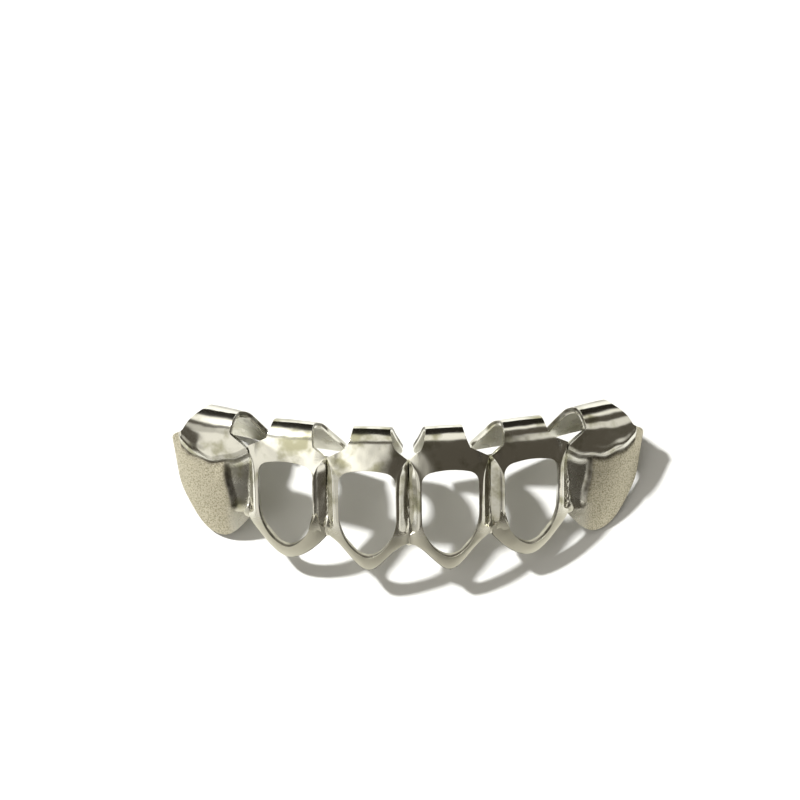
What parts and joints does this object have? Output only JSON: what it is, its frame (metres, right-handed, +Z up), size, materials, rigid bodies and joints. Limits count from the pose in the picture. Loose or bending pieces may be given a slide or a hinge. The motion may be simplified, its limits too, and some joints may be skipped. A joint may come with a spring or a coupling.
{
  "type": "grillz tooth cover",
  "caption": "Bar of soldered metal caps for the lower front teeth: open-faced caps in the middle and closed, sandblasted canine caps at the ends, each hooked over the biting edge.",
  "frame": {"origin": "centre of the footprint, on the table that the grill lies on", "axes": "+Z up from the table, +Y towards the biting edges, +X along the bar to the side seen on the right"},
  "size_m": [0.0364, 0.0132, 0.0081],
  "materials": {
    "metal": "plated and polished, with satin lower frames and sandblasted canine panels"
  },
  "bodies": {
    "root": {"six_tooth_grill": "metal"}
  },
  "joints": []
}
